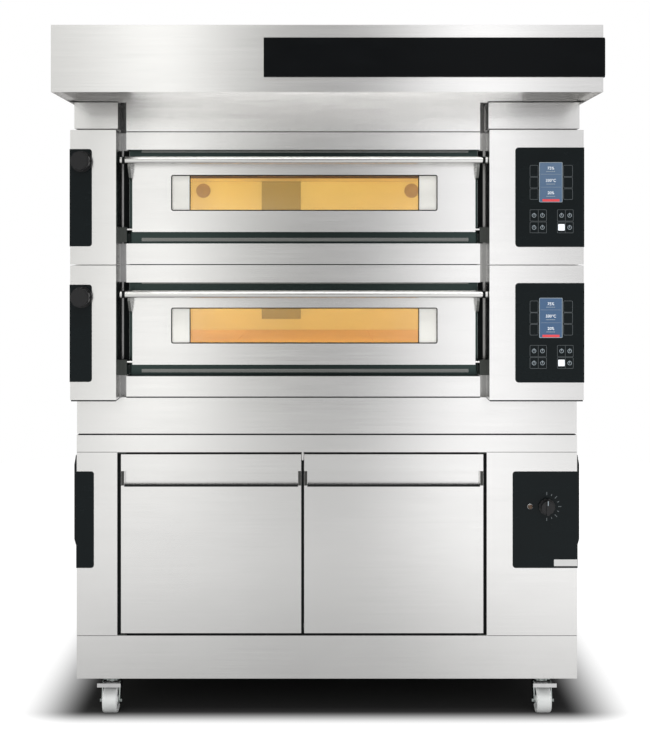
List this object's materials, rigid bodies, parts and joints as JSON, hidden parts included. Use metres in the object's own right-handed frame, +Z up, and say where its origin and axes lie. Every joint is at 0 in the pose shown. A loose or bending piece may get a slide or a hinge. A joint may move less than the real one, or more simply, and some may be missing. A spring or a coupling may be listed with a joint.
{
  "type": "deck pizza oven with hood and prover",
  "caption": "Two-deck electric pizza oven with drop-down glazed doors under an overhanging hood, on a heated prover cabinet with swivel castors.",
  "frame": {"origin": "on the floor, under the middle of the whole object's box", "axes": "+Z up, the front with the doors faces -Y, +X to the right seen from the front"},
  "size_m": [1.714, 1.4, 2.176],
  "materials": {
    "brushed_panel": "satin",
    "galvanised_panel": "matte",
    "liner_steel": "satin",
    "chamber_steel": "satin",
    "stone": "matte",
    "black_panel": "gloss",
    "cowl_black": "matte",
    "display": "gloss",
    "clear_glass": "gloss",
    "polished_steel": "polished",
    "arm_steel": "satin",
    "knob_black": "satin",
    "zinc": "satin",
    "nylon": "satin",
    "element": "matte",
    "lamp_glass": "gloss"
  },
  "bodies": {
    "cabinet": {"stand_base": "brushed_panel", "stand_left_column": "brushed_panel", "stand_right_column": "brushed_panel", "stand_top_rail": "brushed_panel", "stand_plinth": "brushed_panel", "stand_back_panel": "galvanised_panel", "prover_liner": "liner_steel", "prover_runners": "liner_steel", "prover_heater": "galvanised_panel", "prover_control_panel": "black_panel", "prover_cowls": "cowl_black", "castor_plates": "zinc", "black_inlays": "black_panel", "lower_casing": "brushed_panel", "upper_casing": "brushed_panel", "front_frames": "brushed_panel", "left_housings": "brushed_panel", "control_housings": "brushed_panel", "lower_chamber": "chamber_steel", "upper_chamber": "chamber_steel", "deck_stones": "stone", "heating_elements": "element", "chamber_lamps": "lamp_glass", "control_glass": "black_panel", "display_screens": "display", "hinge_brackets": "arm_steel", "flue_ducts": "galvanised_panel", "chimney_box": "brushed_panel", "hood_canopy": "brushed_panel", "hood_strip": "black_panel", "hood_collar": "galvanised_panel"},
    "lower_door": {"lower_door_skin": "brushed_panel", "lower_door_liner": "liner_steel", "lower_door_glass": "clear_glass", "lower_door_handle": "polished_steel", "lower_handle_arms": "arm_steel"},
    "upper_door": {"upper_door_skin": "brushed_panel", "upper_door_liner": "liner_steel", "upper_door_glass": "clear_glass", "upper_door_handle": "polished_steel", "upper_handle_arms": "arm_steel"},
    "lower_vent": {"lower_vent_knob": "knob_black", "lower_vent_shaft": "zinc"},
    "upper_vent": {"upper_vent_knob": "knob_black", "upper_vent_shaft": "zinc"},
    "prover_door_left": {"prover_left_door": "brushed_panel", "prover_left_door_liner": "liner_steel"},
    "prover_door_right": {"prover_right_door": "brushed_panel", "prover_right_door_liner": "liner_steel"},
    "thermostat": {"thermostat_knob": "knob_black"},
    "castor_front_left": {"front_left_fork": "zinc"},
    "wheel_front_left": {"front_left_wheel": "nylon"},
    "castor_front_right": {"front_right_fork": "zinc"},
    "wheel_front_right": {"front_right_wheel": "nylon"},
    "castor_rear_left": {"rear_left_fork": "zinc"},
    "wheel_rear_left": {"rear_left_wheel": "nylon"},
    "castor_rear_right": {"rear_right_fork": "zinc"},
    "wheel_rear_right": {"rear_right_wheel": "nylon"},
    "brake_left": {"left_brake_pedal": "zinc"},
    "brake_right": {"right_brake_pedal": "zinc"}
  },
  "joints": [
    {"name": "lower_door_hinge", "type": "hinge", "parent": "cabinet", "child": "lower_door", "pos_m": [-0.072, -0.345, 1.1185], "axis": [1, 0, 0], "range_deg": [0, 88]},
    {"name": "upper_door_hinge", "type": "hinge", "parent": "cabinet", "child": "upper_door", "pos_m": [-0.072, -0.345, 1.5395], "axis": [1, 0, 0], "range_deg": [0, 88]},
    {"name": "lower_vent_turn", "type": "hinge", "parent": "cabinet", "child": "lower_vent", "pos_m": [-0.761, -0.455, 1.328], "axis": [0, 1, 0], "range_deg": [0, 90]},
    {"name": "upper_vent_turn", "type": "hinge", "parent": "cabinet", "child": "upper_vent", "pos_m": [-0.761, -0.455, 1.749], "axis": [0, 1, 0], "range_deg": [0, 90]},
    {"name": "prover_left_hinge", "type": "hinge", "parent": "cabinet", "child": "prover_door_left", "pos_m": [-0.645, -0.345, 0.5425], "axis": [0, 0, -1], "range_deg": [0, 110]},
    {"name": "prover_right_hinge", "type": "hinge", "parent": "cabinet", "child": "prover_door_right", "pos_m": [0.488, -0.345, 0.5425], "axis": [0, 0, 1], "range_deg": [0, 110]},
    {"name": "thermostat_turn", "type": "hinge", "parent": "cabinet", "child": "thermostat", "pos_m": [0.697, -0.37, 0.661], "axis": [0, 1, 0], "range_deg": [0, 270]},
    {"name": "front_left_swivel", "type": "hinge", "parent": "cabinet", "child": "castor_front_left", "pos_m": [-0.688, -0.293, 0.1], "axis": [0, 0, 1], "continuous": true},
    {"name": "front_left_roll", "type": "hinge", "parent": "castor_front_left", "child": "wheel_front_left", "pos_m": [-0.688, -0.328, 0.04], "axis": [1, 0, 0], "continuous": true},
    {"name": "front_right_swivel", "type": "hinge", "parent": "cabinet", "child": "castor_front_right", "pos_m": [0.688, -0.293, 0.1], "axis": [0, 0, 1], "continuous": true},
    {"name": "front_right_roll", "type": "hinge", "parent": "castor_front_right", "child": "wheel_front_right", "pos_m": [0.688, -0.328, 0.04], "axis": [1, 0, 0], "continuous": true},
    {"name": "rear_left_swivel", "type": "hinge", "parent": "cabinet", "child": "castor_rear_left", "pos_m": [-0.688, 0.6, 0.1], "axis": [0, 0, 1], "continuous": true},
    {"name": "rear_left_roll", "type": "hinge", "parent": "castor_rear_left", "child": "wheel_rear_left", "pos_m": [-0.688, 0.565, 0.04], "axis": [1, 0, 0], "continuous": true},
    {"name": "rear_right_swivel", "type": "hinge", "parent": "cabinet", "child": "castor_rear_right", "pos_m": [0.688, 0.6, 0.1], "axis": [0, 0, 1], "continuous": true},
    {"name": "rear_right_roll", "type": "hinge", "parent": "castor_rear_right", "child": "wheel_rear_right", "pos_m": [0.688, 0.565, 0.04], "axis": [1, 0, 0], "continuous": true},
    {"name": "left_brake_press", "type": "hinge", "parent": "castor_front_left", "child": "brake_left", "pos_m": [-0.688, -0.315, 0.088], "axis": [1, 0, 0], "range_deg": [0, 12]},
    {"name": "right_brake_press", "type": "hinge", "parent": "castor_front_right", "child": "brake_right", "pos_m": [0.688, -0.315, 0.088], "axis": [1, 0, 0], "range_deg": [0, 12]}
  ]
}
